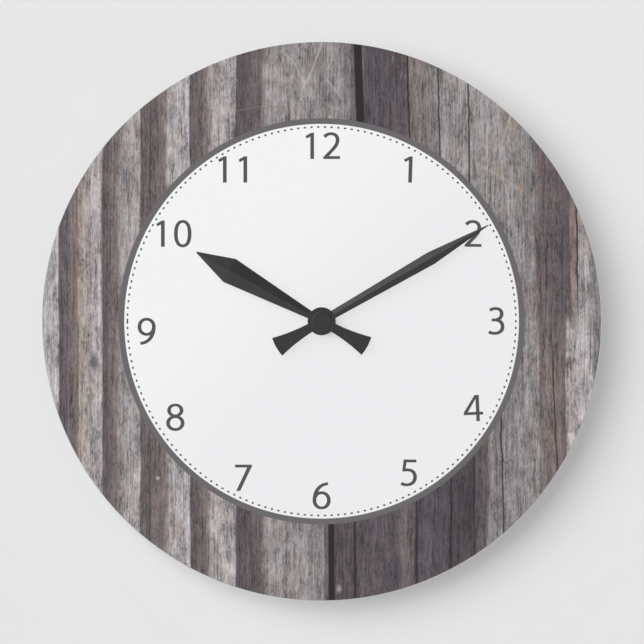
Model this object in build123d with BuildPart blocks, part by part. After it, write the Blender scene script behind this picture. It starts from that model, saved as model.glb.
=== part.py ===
"""Round wall clock: a printed acrylic face, two flared hands and a battery quartz movement.

Millimetres, +Z up, the dial faces -Y.  The origin is where the hands' axis meets the wall, so the
rear of the movement lies in the plane Y = 0.  A "depth" is a distance in front of the wall, along -Y,
and a "heading" is an angle clockwise from 12 o'clock, as seen by someone who reads the clock.
"""
from build123d import *
import math
import os

os.makedirs("parts", exist_ok=True)

# ---- driving dimensions: face ------------------------------------------------------------------
panel_diameter = 273.0
panel_thickness = 4.8
panel_edge_break = 0.4
panel_bore = 8.5
film_thickness = 0.15

# ---- driving dimensions: movement case -----------------------------------------------------------
case_size = 56.0
case_corner = 4.0
case_wall = 1.4
cover_thickness = 1.5
front_wall_rear = 15.0
case_front = 16.5
divider_top = -10.4
divider_thickness = 1.2
bay_bottom = -26.8
case_edge_break = 0.6
finger_notch_radius = 9.0
gasket_diameter = 20.0
gasket_thickness = 1.0

# ---- driving dimensions: hanger --------------------------------------------------------------------
hanger_width = 18.0
hanger_top = 44.5
hanger_rear = 2.0
hanger_front = 4.5
hanger_corner = 5.0
gusset_reach = 6.0
keyhole_height = 34.5
keyhole_diameter = 8.0
keyhole_slot = 4.0
keyhole_slot_top = 39.5

# ---- driving dimensions: centre stack, by depth ----------------------------------------------------
panel_rear = case_front + gasket_thickness
panel_front = panel_rear + panel_thickness
film_front = panel_front + film_thickness
washer_front = film_front + 0.6
nut_front = washer_front + 2.2
bushing_front = nut_front + 0.75
hour_hand_rear = 26.9
hour_pipe_front = 28.3
minute_hand_rear = 29.5
minute_pipe_front = 31.5
cap_front = 32.2

# ---- driving dimensions: round fits ----------------------------------------------------------------
washer_diameter = 13.0
nut_across_flats = 11.0
bushing_diameter = 8.0
bushing_bore = 5.1
hour_pipe_diameter = 5.0
hour_pipe_bore = 3.5
minute_pipe_diameter = 3.4
minute_pipe_bore = 1.1
seconds_arbor_diameter = 1.0
pivot_diameter = 0.6
pivot_play = 0.1
post_diameter = 1.6
knob_diameter = 13.6
hour_collet_diameter = 7.0
minute_collet_diameter = 5.4

# ---- driving dimensions: hands ---------------------------------------------------------------------
minute_heading = 60.05
hour_heading = 298.9
hand_edge = 0.5
hub_diameter = 13.6
hub_thickness = 0.9
cap_diameter = 9.8
cap_round = 0.45
tail_reach = 25.4

# ---- driving dimensions: gears ---------------------------------------------------------------------
addendum = 0.9
dedendum = 1.15
tooth_root_share = 0.60
tooth_tip_share = 0.24
motion_spacing = 10.0
third_spacing = 10.8
fifth_spacing = 7.2
rotor_spacing = 7.0
cannon_teeth, motion_teeth = 12, 36
motion_pinion_teeth, hour_teeth = 10, 40
centre_teeth, third_pinion_teeth = 64, 8
third_teeth, fourth_pinion_teeth = 60, 8
fourth_teeth, fifth_pinion_teeth = 40, 8
fifth_teeth, rotor_pinion_teeth = 48, 8
knob_pinion_teeth = 12
third_heading = -90.0
motion_heading = 60.0
knob_heading = 45.0
fifth_heading = 20.0
rotor_heading = -20.0

# ---- driving dimensions: battery -------------------------------------------------------------------
battery_depth = 7.6
battery_height = -19.2
battery_diameter = 14.5
battery_can_diameter = 14.1
battery_left = -24.4
battery_right = 24.9
battery_nub_right = 26.1
battery_nub_diameter = 5.5


# ---- places ----------------------------------------------------------------------------------------
def step_from(start, distance, heading):
    """Point on the wall plane, as (x, z), at a distance and a heading from another one."""
    turn = math.radians(heading)
    return (start[0] + distance * math.sin(turn), start[1] + distance * math.cos(turn))


def facing(depth, at=(0.0, 0.0)):
    """Plane parallel to the wall: local x is +X, local y is +Z, and an extrusion comes forward."""
    return Plane(origin=(at[0], -depth, at[1]), x_dir=(1, 0, 0), z_dir=(0, -1, 0))


def along_hand(depth, heading):
    """Plane parallel to the wall whose local y runs along a hand, from its hub to its tip."""
    turn = math.radians(heading)
    return Plane(origin=(0, -depth, 0), x_dir=(math.cos(turn), 0, -math.sin(turn)), z_dir=(0, -1, 0))


def across_hand(depth, heading, reach):
    """Plane that cuts a hand squarely at a distance from its hub; local y comes forward."""
    turn = math.radians(heading)
    foot = step_from(centre, reach, heading)
    return Plane(
        origin=(foot[0], -depth, foot[1]),
        x_dir=(-math.cos(turn), 0, math.sin(turn)),
        z_dir=(math.sin(turn), 0, math.cos(turn)),
    )


centre = (0.0, 0.0)
third_arbor = step_from(centre, third_spacing, third_heading)
motion_arbor = step_from(centre, motion_spacing, motion_heading)
knob_arbor = step_from(motion_arbor, motion_spacing, knob_heading)
fifth_arbor = step_from(centre, fifth_spacing, fifth_heading)
rotor_arbor = step_from(fifth_arbor, rotor_spacing, rotor_heading)


# ---- shapes that repeat ----------------------------------------------------------------------------
def round_bar(rear, front, diameter, at=centre, mode=Mode.ADD):
    """Cylinder square to the wall, between two depths."""
    with Locations(facing(rear, at)):
        Cylinder(diameter / 2, front - rear, align=(Align.CENTER, Align.CENTER, Align.MIN), mode=mode)


def block(rear, front, left, right, bottom, top, mode=Mode.ADD):
    """Rectangular block between two depths and the given sides."""
    with Locations(facing(rear, (left, bottom))):
        Box(right - left, top - bottom, front - rear, align=(Align.MIN, Align.MIN, Align.MIN), mode=mode)


def turned(profile, mode=Mode.ADD):
    """Shape turned about the hands' axis; the profile is a list of (radius, depth) corners."""
    with BuildSketch(Plane.XY) as section:
        Polygon(*[(radius, -depth) for radius, depth in profile], align=None)
    revolve(section.sketch, axis=Axis.Y, mode=mode)


def module_for(spacing, teeth_a, teeth_b):
    """Module of a gear pair whose arbors are a given distance apart."""
    return 2 * spacing / (teeth_a + teeth_b)


def mesh_turn(turn, teeth, heading, other_teeth):
    """Turn of a gear that lies at a heading from another one and has to mesh with it.

    A gear's turn is the heading of one of its teeth.  Where the first gear's tooth crosses the line
    between the arbors, the second gear has a gap.
    """
    teeth_past_line = (turn - heading) * teeth / 360
    return heading + 180 - (teeth_past_line + 0.5) * 360 / other_teeth


def gear(rear, front, teeth, module, turn, at=centre):
    """Straight-flanked gear; its teeth are narrow, so a pair runs free at every phase."""
    tip = (teeth / 2 + addendum) * module
    root = (teeth / 2 - dedendum) * module
    tooth_corners = (
        (root, -tooth_root_share / 2),
        (tip, -tooth_tip_share / 2),
        (tip, tooth_tip_share / 2),
        (root, tooth_root_share / 2),
    )
    outline = []
    for tooth in range(teeth):
        for radius, share in tooth_corners:
            outline.append(step_from(centre, radius, turn + (tooth + share) * 360 / teeth))
    with BuildSketch(facing(rear, at)) as profile:
        Polygon(*outline, align=None)
    extrude(profile.sketch, amount=front - rear)


def lightening_holes(rear, front, count, diameter, circle_radius, turn, at=centre):
    """Ring of round holes through the web of a wheel."""
    with BuildSketch(facing(rear, at)) as holes:
        with PolarLocations(circle_radius, count, start_angle=90 - turn):
            Circle(diameter / 2)
    extrude(holes.sketch, amount=front - rear, mode=Mode.SUBTRACT)


def bearing(rear, front, at, diameter=2.6):
    """Boss that an arbor's pivot runs in."""
    round_bar(rear, front, diameter, at)


def pivot_hole(rear, front, at, diameter=pivot_diameter):
    """Blind or open hole around a pivot, with running play."""
    round_bar(rear, front, diameter + pivot_play, at, Mode.SUBTRACT)


# ---- gear pairs: modules and rest turns --------------------------------------------------------------
cannon_module = module_for(motion_spacing, cannon_teeth, motion_teeth)
hour_module = module_for(motion_spacing, motion_pinion_teeth, hour_teeth)
centre_module = module_for(third_spacing, centre_teeth, third_pinion_teeth)
third_module = module_for(third_spacing, third_teeth, fourth_pinion_teeth)
fourth_module = module_for(fifth_spacing, fourth_teeth, fifth_pinion_teeth)
fifth_module = module_for(rotor_spacing, fifth_teeth, rotor_pinion_teeth)

cannon_turn = minute_heading
motion_turn = mesh_turn(cannon_turn, cannon_teeth, motion_heading, motion_teeth)
knob_turn = mesh_turn(motion_turn, motion_teeth, knob_heading, knob_pinion_teeth)
hour_turn = mesh_turn(motion_turn, motion_pinion_teeth, motion_heading + 180, hour_teeth)
centre_turn = 0.0
third_turn = mesh_turn(centre_turn, centre_teeth, third_heading, third_pinion_teeth)
fourth_turn = mesh_turn(third_turn, third_teeth, third_heading + 180, fourth_pinion_teeth)
fifth_turn = mesh_turn(fourth_turn, fourth_teeth, fifth_heading, fifth_pinion_teeth)
rotor_turn = mesh_turn(fifth_turn, fifth_teeth, rotor_heading, rotor_pinion_teeth)

# ---- layers of the movement, by depth ------------------------------------------------------------------
plate_rear, plate_front = 8.9, 9.9
centre_wheel_rear, centre_wheel_front = 10.3, 11.1
motion_rear, motion_front = 11.4, 12.6
motion_pinion_front = 14.4
minute_pipe_rear = 10.25
hour_wheel_rear, hour_wheel_front = 13.0, 14.0
hour_hub_rear, hour_hub_front = 12.85, 14.2
fourth_wheel_rear, fourth_wheel_front = 3.0, 3.8
fifth_wheel_rear, fifth_wheel_front = 5.0, 5.8
third_wheel_rear, third_wheel_front = 6.6, 7.4
stator_rear, stator_front = 7.0, 8.2
board_rear, board_front = 5.2, 6.0
inner_half = case_size / 2 - case_wall
room_top = case_size / 2 - case_wall
bay_top = divider_top - divider_thickness
pillars = [(-22.0, -7.0), (22.0, -7.0), (-22.0, 13.0), (22.0, 21.0)]
board_posts = [(16.4, 17.6), (23.4, 24.0)]
stator_pins = [(-10.8, 13.35), (10.8, 13.35)]
snap_heights = [-5.0, 9.0]
snap_half = 2.5

# ==== FACE ============================================================================================
with BuildPart() as panel:
    with BuildSketch(facing(panel_rear)):
        Circle(panel_diameter / 2)
        Circle(panel_bore / 2, mode=Mode.SUBTRACT)
    extrude(amount=panel_thickness)
    rim_edges = panel.edges().filter_by(GeomType.CIRCLE).group_by(SortBy.RADIUS)[-1]
    chamfer(rim_edges, panel_edge_break)
panel.part.label = "panel"
export_step(panel.part, "parts/panel.step")

with BuildPart() as printed_face:
    with BuildSketch(facing(panel_front)):
        Circle(panel_diameter / 2 - panel_edge_break)
        Circle(panel_bore / 2, mode=Mode.SUBTRACT)
    extrude(amount=film_thickness)
printed_face.part.label = "printed_face"
export_step(printed_face.part, "parts/printed_face.step")

with BuildPart() as rubber_gasket:
    with BuildSketch(facing(case_front)):
        Circle(gasket_diameter / 2)
        Circle(panel_bore / 2, mode=Mode.SUBTRACT)
    extrude(amount=gasket_thickness)
rubber_gasket.part.label = "rubber_gasket"
export_step(rubber_gasket.part, "parts/rubber_gasket.step")

# ==== CENTRE FASTENING ================================================================================
thread_pitch = 0.75
thread_depth = 0.3
thread_rear = panel_rear + 1.0
thread_turns = int((bushing_front - thread_rear) / thread_pitch)
bushing_radius = bushing_diameter / 2
flange_radius = 5.5
flange_rear = front_wall_rear - 0.7
bushing_profile = [
    (bushing_bore / 2, flange_rear),
    (flange_radius, flange_rear),
    (flange_radius, front_wall_rear),
    (bushing_radius, front_wall_rear),
]
for ridge in range(thread_turns):
    ridge_rear = thread_rear + ridge * thread_pitch
    bushing_profile.append((bushing_radius, ridge_rear))
    bushing_profile.append((bushing_radius - thread_depth, ridge_rear + 0.3))
    bushing_profile.append((bushing_radius - thread_depth, ridge_rear + 0.4))
    bushing_profile.append((bushing_radius, ridge_rear + 0.6))
bushing_profile.append((bushing_radius - thread_depth, bushing_front))
bushing_profile.append((bushing_bore / 2, bushing_front))

with BuildPart() as threaded_bushing:
    turned(bushing_profile)
threaded_bushing.part.label = "threaded_bushing"
export_step(threaded_bushing.part, "parts/threaded_bushing.step")

with BuildPart() as washer:
    with BuildSketch(facing(film_front)):
        Circle(washer_diameter / 2)
        Circle(bushing_radius + 0.15, mode=Mode.SUBTRACT)
    extrude(amount=washer_front - film_front)
washer.part.label = "washer"
export_step(washer.part, "parts/washer.step")

nut_half_flats = nut_across_flats / 2
nut_half_corners = nut_half_flats / math.cos(math.radians(30))
with BuildPart() as hex_nut:
    with BuildSketch(facing(washer_front)):
        RegularPolygon(nut_half_flats, 6, major_radius=False)
        Circle(bushing_radius + 0.03, mode=Mode.SUBTRACT)
    extrude(amount=nut_front - washer_front)
    turned(
        [
            (0, washer_front),
            (nut_half_corners, washer_front),
            (nut_half_corners, nut_front - 0.45),
            (nut_half_flats - 0.1, nut_front),
            (0, nut_front),
        ],
        Mode.INTERSECT,
    )
hex_nut.part.label = "hex_nut"
export_step(hex_nut.part, "parts/hex_nut.step")

# ==== MOVEMENT CASE ===================================================================================
with BuildPart() as movement_case:
    with BuildSketch(facing(0)):
        RectangleRounded(case_size, case_size, case_corner)
    extrude(amount=case_front)
    chamfer(movement_case.faces().sort_by(Axis.Y)[0].edges(), case_edge_break)
    # gear room, battery bay, and the step that the rear cover sits in
    block(0, front_wall_rear, -inner_half, inner_half, divider_top, room_top, Mode.SUBTRACT)
    block(0, front_wall_rear, -inner_half, inner_half, bay_bottom, bay_top, Mode.SUBTRACT)
    block(0, cover_thickness, -case_size, case_size, divider_top, case_size, Mode.SUBTRACT)
    # finger notch for lifting the battery out
    with Locations(Plane(origin=(0, 0, -case_size / 2), z_dir=(0, 0, 1))):
        Cylinder(finger_notch_radius, 4 * case_wall, mode=Mode.SUBTRACT)
    # notches in the divider for the two contact strips
    for side in (-1, 1):
        left, right = sorted((side * (inner_half - 0.6), side * inner_half))
        block(6.8, 9.2, left, right, bay_top, divider_top, Mode.SUBTRACT)
    # windows that the cover's snap arms catch in
    for height in snap_heights:
        for side in (-1, 1):
            left, right = sorted((side * (inner_half - 0.5), side * case_size / 2))
            block(4.4, 6.0, left, right, height - snap_half - 0.2, height + snap_half + 0.2, Mode.SUBTRACT)
    # centre hole for the threaded bushing
    round_bar(front_wall_rear, case_front, bushing_diameter, mode=Mode.SUBTRACT)
    # pillars with the pins that carry the gear plate
    for pillar in pillars:
        round_bar(plate_front, front_wall_rear, 4.0, pillar)
        round_bar(plate_rear - 0.5, plate_front, 1.8, pillar)
    # post that the motion wheel turns on, and bearings of the third wheel and the setting knob
    round_bar(14.5, front_wall_rear, 3.0, motion_arbor)
    round_bar(11.2, front_wall_rear, post_diameter, motion_arbor)
    bearing(11.6, front_wall_rear, third_arbor)
    pivot_hole(11.6, 13.1, third_arbor)
    bearing(12.9, front_wall_rear, knob_arbor, 4.4)
    pivot_hole(12.9, 14.6, knob_arbor, post_diameter)
movement_case.part.label = "movement_case"
export_step(movement_case.part, "parts/movement_case.step")

# ==== HANGER ==========================================================================================
with BuildPart() as hanger_tab:
    # tab with a keyhole, square where it meets the top of the case and rounded above
    with BuildSketch(facing(hanger_rear)):
        with Locations((0, (case_size / 2 + hanger_top) / 2)):
            RectangleRounded(hanger_width, hanger_top - case_size / 2, hanger_corner)
        with Locations((0, (case_size + hanger_corner) / 2)):
            Rectangle(hanger_width, hanger_corner)
        with Locations((0, keyhole_height)):
            Circle(keyhole_diameter / 2, mode=Mode.SUBTRACT)
        with Locations((0, keyhole_slot_top)):
            Circle(keyhole_slot / 2, mode=Mode.SUBTRACT)
        with Locations((0, (keyhole_height + keyhole_slot_top) / 2)):
            Rectangle(keyhole_slot, keyhole_slot_top - keyhole_height, mode=Mode.SUBTRACT)
    extrude(amount=hanger_front - hanger_rear)
    # two gussets that stiffen it against the top wall
    for gusset_left in (-hanger_width / 2, hanger_width / 2 - case_wall):
        with BuildSketch(Plane.YZ.offset(gusset_left)):
            Polygon(
                (-hanger_front, case_size / 2),
                (-hanger_front - gusset_reach, case_size / 2),
                (-hanger_front, case_size / 2 + gusset_reach),
                align=None,
            )
        extrude(amount=case_wall)
hanger_tab.part.label = "hanger_tab"
export_step(hanger_tab.part, "parts/hanger_tab.step")

# ==== REAR COVER ======================================================================================
arrow_radius = 8.9
mark_depth = 0.25
with BuildPart() as rear_cover:
    with BuildSketch(facing(0)):
        RectangleRounded(case_size, case_size, case_corner)
        with Locations((0, divider_top - case_size / 2 + 0.1)):
            Rectangle(2 * case_size, case_size, mode=Mode.SUBTRACT)
        with Locations(knob_arbor):
            Circle(knob_diameter / 2 + 0.3, mode=Mode.SUBTRACT)
    extrude(amount=cover_thickness)
    # shallow recess for a label
    block(0, 0.3, -22.0, -6.0, 17.0, 24.0, Mode.SUBTRACT)
    # moulded arrow beside the knob
    with BuildSketch(facing(0, knob_arbor)) as arrow:
        Circle(arrow_radius + 0.3)
        Circle(arrow_radius - 0.3, mode=Mode.SUBTRACT)
        Polygon(
            centre,
            step_from(centre, 2 * arrow_radius, 275),
            step_from(centre, 3 * arrow_radius, 305),
            step_from(centre, 2 * arrow_radius, 335),
            align=None,
            mode=Mode.INTERSECT,
        )
        Polygon(
            step_from(centre, arrow_radius - 1.0, 333),
            step_from(centre, arrow_radius + 1.0, 333),
            step_from(centre, arrow_radius, 348),
            align=None,
        )
    extrude(arrow.sketch, amount=mark_depth, mode=Mode.SUBTRACT)
    # moulded signs of the battery's two poles
    with BuildSketch(facing(0, (0, -7.4))) as poles:
        with Locations((-21.5, 0), (21.5, 0)):
            Rectangle(2.6, 0.6)
        with Locations((21.5, 0)):
            Rectangle(0.6, 2.6)
    extrude(poles.sketch, amount=mark_depth, mode=Mode.SUBTRACT)
    # rear bearings of the going train
    bearing(cover_thickness, 5.6, third_arbor)
    pivot_hole(4.4, 5.6, third_arbor)
    bearing(cover_thickness, 2.7, centre, 3.0)
    pivot_hole(0.5, 2.7, centre, seconds_arbor_diameter)
    bearing(cover_thickness, 2.4, fifth_arbor, 2.4)
    pivot_hole(1.2, 2.4, fifth_arbor)
    bearing(cover_thickness, 4.4, rotor_arbor)
    pivot_hole(3.2, 4.4, rotor_arbor)
    # snap arms with barbs
    for height in snap_heights:
        for side in (-1, 1):
            left, right = sorted((side * (inner_half - 1.2), side * (inner_half - 0.2)))
            block(cover_thickness, 6.2, left, right, height - snap_half, height + snap_half)
            left, right = sorted((side * (inner_half - 0.2), side * (inner_half + 0.8)))
            block(4.6, 5.8, left, right, height - snap_half, height + snap_half)
rear_cover.part.label = "rear_cover"
export_step(rear_cover.part, "parts/rear_cover.step")

# ==== GEAR PLATE ======================================================================================
with BuildPart() as gear_plate:
    with BuildSketch(facing(plate_rear)) as plate_outline:
        Polygon(
            (-24.4, -9.0),
            (24.4, -9.0),
            (24.4, 25.2),
            (14.4, 25.2),
            (14.4, 16.8),
            (-24.4, 16.8),
            align=None,
        )
        fillet(plate_outline.vertices(), 1.0)
        with Locations(*pillars):
            Circle(0.95, mode=Mode.SUBTRACT)
        with Locations(third_arbor):
            Circle(1.7, mode=Mode.SUBTRACT)
        with Locations((-18.0, 2.0), (20.0, 2.0)):
            SlotOverall(9.0, 3.0, rotation=90, mode=Mode.SUBTRACT)
    extrude(amount=plate_front - plate_rear)
    # thrust boss of the minute pipe, bearing sleeve of the knob, front bearings of rotor and fifth wheel
    round_bar(plate_front, 10.15, 3.2)
    round_bar(plate_rear, 10.15, seconds_arbor_diameter + 0.4, mode=Mode.SUBTRACT)
    bearing(6.9, plate_rear, knob_arbor, 5.0)
    pivot_hole(6.9, plate_front, knob_arbor, 3.0)
    pivot_hole(plate_rear, plate_front, fifth_arbor)
    pivot_hole(plate_rear, plate_front, rotor_arbor)
    # seats and pins of the stator and the circuit board
    for pin in stator_pins:
        round_bar(stator_front, plate_rear, 3.4, pin)
        round_bar(stator_rear, stator_front, 1.4, pin)
    for post in board_posts:
        round_bar(board_front, plate_rear, 3.0, post)
        round_bar(board_rear, board_front, 1.2, post)
gear_plate.part.label = "gear_plate"
export_step(gear_plate.part, "parts/gear_plate.step")

# ==== MOTOR ===========================================================================================
stator_width = 25.0
pole_height = 13.35
pole_thickness = 4.3
leg_height = 17.25
rotor_opening = 3.2
stator_pin_diameter = 1.4
with BuildPart() as stator:
    with BuildSketch(facing(stator_rear)):
        with Locations((0, pole_height)):
            Rectangle(stator_width, pole_thickness)
        with Locations(rotor_arbor):
            Circle(4.3)
        with Locations((-10.75, leg_height), (10.75, leg_height)):
            Rectangle(3.5, 12.1)
        with Locations(rotor_arbor):
            Circle(rotor_opening, mode=Mode.SUBTRACT)
            # the two notches that make the rotor rest off the field's axis
            with PolarLocations(rotor_opening, 2, start_angle=50):
                Circle(0.35, mode=Mode.SUBTRACT)
        with Locations(*stator_pins):
            Circle(stator_pin_diameter / 2, mode=Mode.SUBTRACT)
    extrude(amount=stator_front - stator_rear)
stator.part.label = "stator"
export_step(stator.part, "parts/stator.step")

coil_height = 21.3
coil_depth = 6.4
coil_length = 16.0
core_thickness = 1.2
core_rear = stator_rear - core_thickness
core_bottom = coil_height - 1.5
core_top = coil_height + 1.5
barrel_radius = 2.2
winding_radius = 3.4
flange_thickness = 0.8
core_play = 0.05
with BuildPart() as coil_core:
    block(core_rear, stator_rear, -stator_width / 2, stator_width / 2, core_bottom, core_top)
coil_core.part.label = "coil_core"
export_step(coil_core.part, "parts/coil_core.step")

coil_start = Plane(origin=(-coil_length / 2, -coil_depth, coil_height), x_dir=(0, 1, 0), z_dir=(1, 0, 0))
with BuildPart() as coil_bobbin:
    for flange_start in (0, coil_length - flange_thickness):
        with BuildSketch(coil_start.offset(flange_start)):
            Circle(winding_radius + 0.3)
        extrude(amount=flange_thickness)
    with BuildSketch(coil_start):
        Circle(barrel_radius)
    extrude(amount=coil_length)
    # square passage for the core
    passage_rear, passage_front = core_rear - core_play, stator_rear + core_play
    passage_bottom, passage_top = core_bottom - core_play, core_top + core_play
    block(
        passage_rear, passage_front, -coil_length, coil_length, passage_bottom, passage_top, Mode.SUBTRACT
    )
coil_bobbin.part.label = "coil_bobbin"
export_step(coil_bobbin.part, "parts/coil_bobbin.step")

with BuildPart() as coil_winding:
    with BuildSketch(coil_start.offset(flange_thickness)):
        Circle(winding_radius)
        Circle(barrel_radius, mode=Mode.SUBTRACT)
    extrude(amount=coil_length - 2 * flange_thickness)
coil_winding.part.label = "coil_winding"
export_step(coil_winding.part, "parts/coil_winding.step")

lead_depth = 5.6
lead_radius = 0.15
with BuildPart() as coil_leads:
    for height in (20.4, 22.6):
        lead_start = Plane(origin=(coil_length / 2, -lead_depth, height), x_dir=(0, 1, 0), z_dir=(1, 0, 0))
        with BuildSketch(lead_start):
            Circle(lead_radius)
        extrude(amount=6.6)
coil_leads.part.label = "coil_leads"
export_step(coil_leads.part, "parts/coil_leads.step")

# ==== ELECTRONICS =====================================================================================
with BuildPart() as circuit_board:
    with BuildSketch(facing(board_rear, (19.9, 20.7))):
        Rectangle(10.6, 9.8)
    extrude(amount=board_front - board_rear)
    for post in board_posts:
        round_bar(board_rear, board_front, 1.2, post, Mode.SUBTRACT)
circuit_board.part.label = "circuit_board"
export_step(circuit_board.part, "parts/circuit_board.step")

crystal_radius = 1.0
crystal_start = Plane(
    origin=(15.0, -(board_rear - crystal_radius), 23.8), x_dir=(0, 1, 0), z_dir=(1, 0, 0)
)
with BuildPart() as quartz_crystal:
    with BuildSketch(crystal_start):
        Circle(crystal_radius)
    extrude(amount=6.0)
    fillet(quartz_crystal.faces().sort_by(Axis.X)[0].edges(), 0.4)
quartz_crystal.part.label = "quartz_crystal"
export_step(quartz_crystal.part, "parts/quartz_crystal.step")

chip_radius = 2.8
chip_height = 1.1
with BuildPart() as chip_seal:
    with BuildSketch(facing(board_rear, (20.4, 19.6)).rotated((180, 0, 0))):
        Circle(chip_radius)
    extrude(amount=chip_height)
    fillet(chip_seal.faces().sort_by(Axis.Y)[-1].edges(), chip_height - 0.1)
chip_seal.part.label = "chip_seal"
export_step(chip_seal.part, "parts/chip_seal.step")

strip = 0.4
with BuildPart() as positive_contact:
    block(3.0, 12.0, inner_half - strip, inner_half, -24.5, -13.0)
    block(7.0, 9.0, inner_half - strip, inner_half, -13.0, 17.8)
    block(board_front, 9.0, inner_half - strip, inner_half, 15.9, 17.8)
    block(board_front, board_front + 0.3, 23.6, inner_half, 15.9, 17.8)
positive_contact.part.label = "positive_contact"
export_step(positive_contact.part, "parts/positive_contact.step")

with BuildPart() as negative_contact:
    block(3.0, 12.0, -inner_half, strip - inner_half, -24.5, -13.0)
    block(7.0, 9.0, -inner_half, strip - inner_half, -13.0, room_top)
    block(7.0, 9.0, -inner_half, 17.5, room_top - strip, room_top)
    block(board_front, 9.0, 15.6, 17.5, room_top - strip, room_top)
    block(board_front, board_front + 0.3, 15.6, 17.5, 24.4, room_top)
negative_contact.part.label = "negative_contact"
export_step(negative_contact.part, "parts/negative_contact.step")

# conical spring between the strip and the battery's flat end
spring_wire = 0.44
spring_left = strip - inner_half + 0.03
with BuildPart() as battery_spring:
    with BuildLine() as spring_path:
        Helix(
            pitch=0.6,
            height=1.2,
            radius=3.6,
            center=(spring_left + spring_wire / 2, -battery_depth, battery_height),
            direction=(1, 0, 0),
            cone_angle=-45,
        )
    with BuildSketch(Plane(origin=spring_path.line @ 0, z_dir=spring_path.line % 0)):
        Circle(spring_wire / 2)
    sweep(is_frenet=True)
battery_spring.part.label = "battery_spring"
export_step(battery_spring.part, "parts/battery_spring.step")

# ==== BATTERY =========================================================================================
battery_axis = Axis((0, -battery_depth, battery_height), (1, 0, 0))
battery_section = Plane(origin=(0, -battery_depth, battery_height), x_dir=(1, 0, 0), z_dir=(0, -1, 0))
can_radius = battery_can_diameter / 2
nub_radius = battery_nub_diameter / 2
with BuildPart() as battery_can:
    with BuildSketch(battery_section) as can_section:
        Polygon(
            (battery_left, 0),
            (battery_left, can_radius - 0.5),
            (battery_left + 0.5, can_radius),
            (battery_right - 0.5, can_radius),
            (battery_right, can_radius - 0.5),
            (battery_right, nub_radius),
            (battery_nub_right - 0.3, nub_radius),
            (battery_nub_right, nub_radius - 0.3),
            (battery_nub_right, 0),
            align=None,
        )
    revolve(can_section.sketch, axis=battery_axis)
battery_can.part.label = "battery_can"
export_step(battery_can.part, "parts/battery_can.step")

with BuildPart() as battery_sleeve:
    with BuildSketch(
        Plane(origin=(battery_left + 0.6, -battery_depth, battery_height), x_dir=(0, 1, 0), z_dir=(1, 0, 0))
    ):
        Circle(battery_diameter / 2)
        Circle(can_radius, mode=Mode.SUBTRACT)
    extrude(amount=battery_right - battery_left - 1.2)
battery_sleeve.part.label = "battery_sleeve"
export_step(battery_sleeve.part, "parts/battery_sleeve.step")

# ==== MOTION WORK: MINUTE PIPE, MOTION WHEEL, HOUR WHEEL, SETTING KNOB ================================
with BuildPart() as minute_pipe:
    round_bar(minute_pipe_rear, minute_pipe_front, minute_pipe_diameter)
    gear(motion_rear - 0.05, motion_front + 0.05, cannon_teeth, cannon_module, cannon_turn)
    round_bar(minute_pipe_rear, minute_pipe_front, minute_pipe_bore, mode=Mode.SUBTRACT)
minute_pipe.part.label = "minute_pipe"
export_step(minute_pipe.part, "parts/minute_pipe.step")

with BuildPart() as motion_wheel:
    gear(motion_rear, motion_front, motion_teeth, cannon_module, motion_turn, motion_arbor)
    gear(motion_front, motion_pinion_front, motion_pinion_teeth, hour_module, motion_turn, motion_arbor)
    lightening_holes(motion_rear, motion_front, 6, 2.4, 4.6, motion_turn, motion_arbor)
    round_bar(motion_rear, motion_pinion_front, post_diameter + pivot_play, motion_arbor, Mode.SUBTRACT)
motion_wheel.part.label = "motion_wheel"
export_step(motion_wheel.part, "parts/motion_wheel.step")

with BuildPart() as hour_wheel:
    round_bar(hour_hub_rear, hour_hub_front, 7.5)
    gear(hour_wheel_rear, hour_wheel_front, hour_teeth, hour_module, hour_turn)
    lightening_holes(hour_wheel_rear, hour_wheel_front, 6, 2.4, 5.6, hour_turn)
    round_bar(hour_hub_rear, hour_pipe_front, hour_pipe_diameter)
    round_bar(hour_hub_rear, hour_pipe_front, hour_pipe_bore, mode=Mode.SUBTRACT)
hour_wheel.part.label = "hour_wheel"
export_step(hour_wheel.part, "parts/hour_wheel.step")

knob_rear, knob_front = 0.3, 3.0
with BuildPart() as setting_knob:
    with BuildSketch(facing(knob_rear, knob_arbor)):
        Circle(knob_diameter / 2)
        with PolarLocations(knob_diameter / 2 + 0.15, 30):
            Circle(0.45, mode=Mode.SUBTRACT)
    extrude(amount=knob_front - knob_rear)
    # dished rear face with a grip bar across it
    with BuildSketch(facing(knob_rear, knob_arbor)):
        Circle(5.6)
        Rectangle(2.2, 12.0, mode=Mode.SUBTRACT)
    extrude(amount=1.2, mode=Mode.SUBTRACT)
    round_bar(knob_front, motion_rear, 3.0, knob_arbor)
    gear(motion_rear, motion_front, knob_pinion_teeth, cannon_module, knob_turn, knob_arbor)
    round_bar(motion_front, motion_pinion_front, post_diameter, knob_arbor)
setting_knob.part.label = "setting_knob"
export_step(setting_knob.part, "parts/setting_knob.step")

# ==== GOING TRAIN =====================================================================================
with BuildPart() as centre_wheel:
    gear(centre_wheel_rear, centre_wheel_front, centre_teeth, centre_module, centre_turn)
    lightening_holes(centre_wheel_rear, centre_wheel_front, 6, 3.2, 6.0, centre_turn)
    round_bar(centre_wheel_rear, 11.25, 6.0)
    round_bar(centre_wheel_rear, 11.25, minute_pipe_diameter + 0.06, mode=Mode.SUBTRACT)
centre_wheel.part.label = "centre_wheel"
export_step(centre_wheel.part, "parts/centre_wheel.step")

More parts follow.
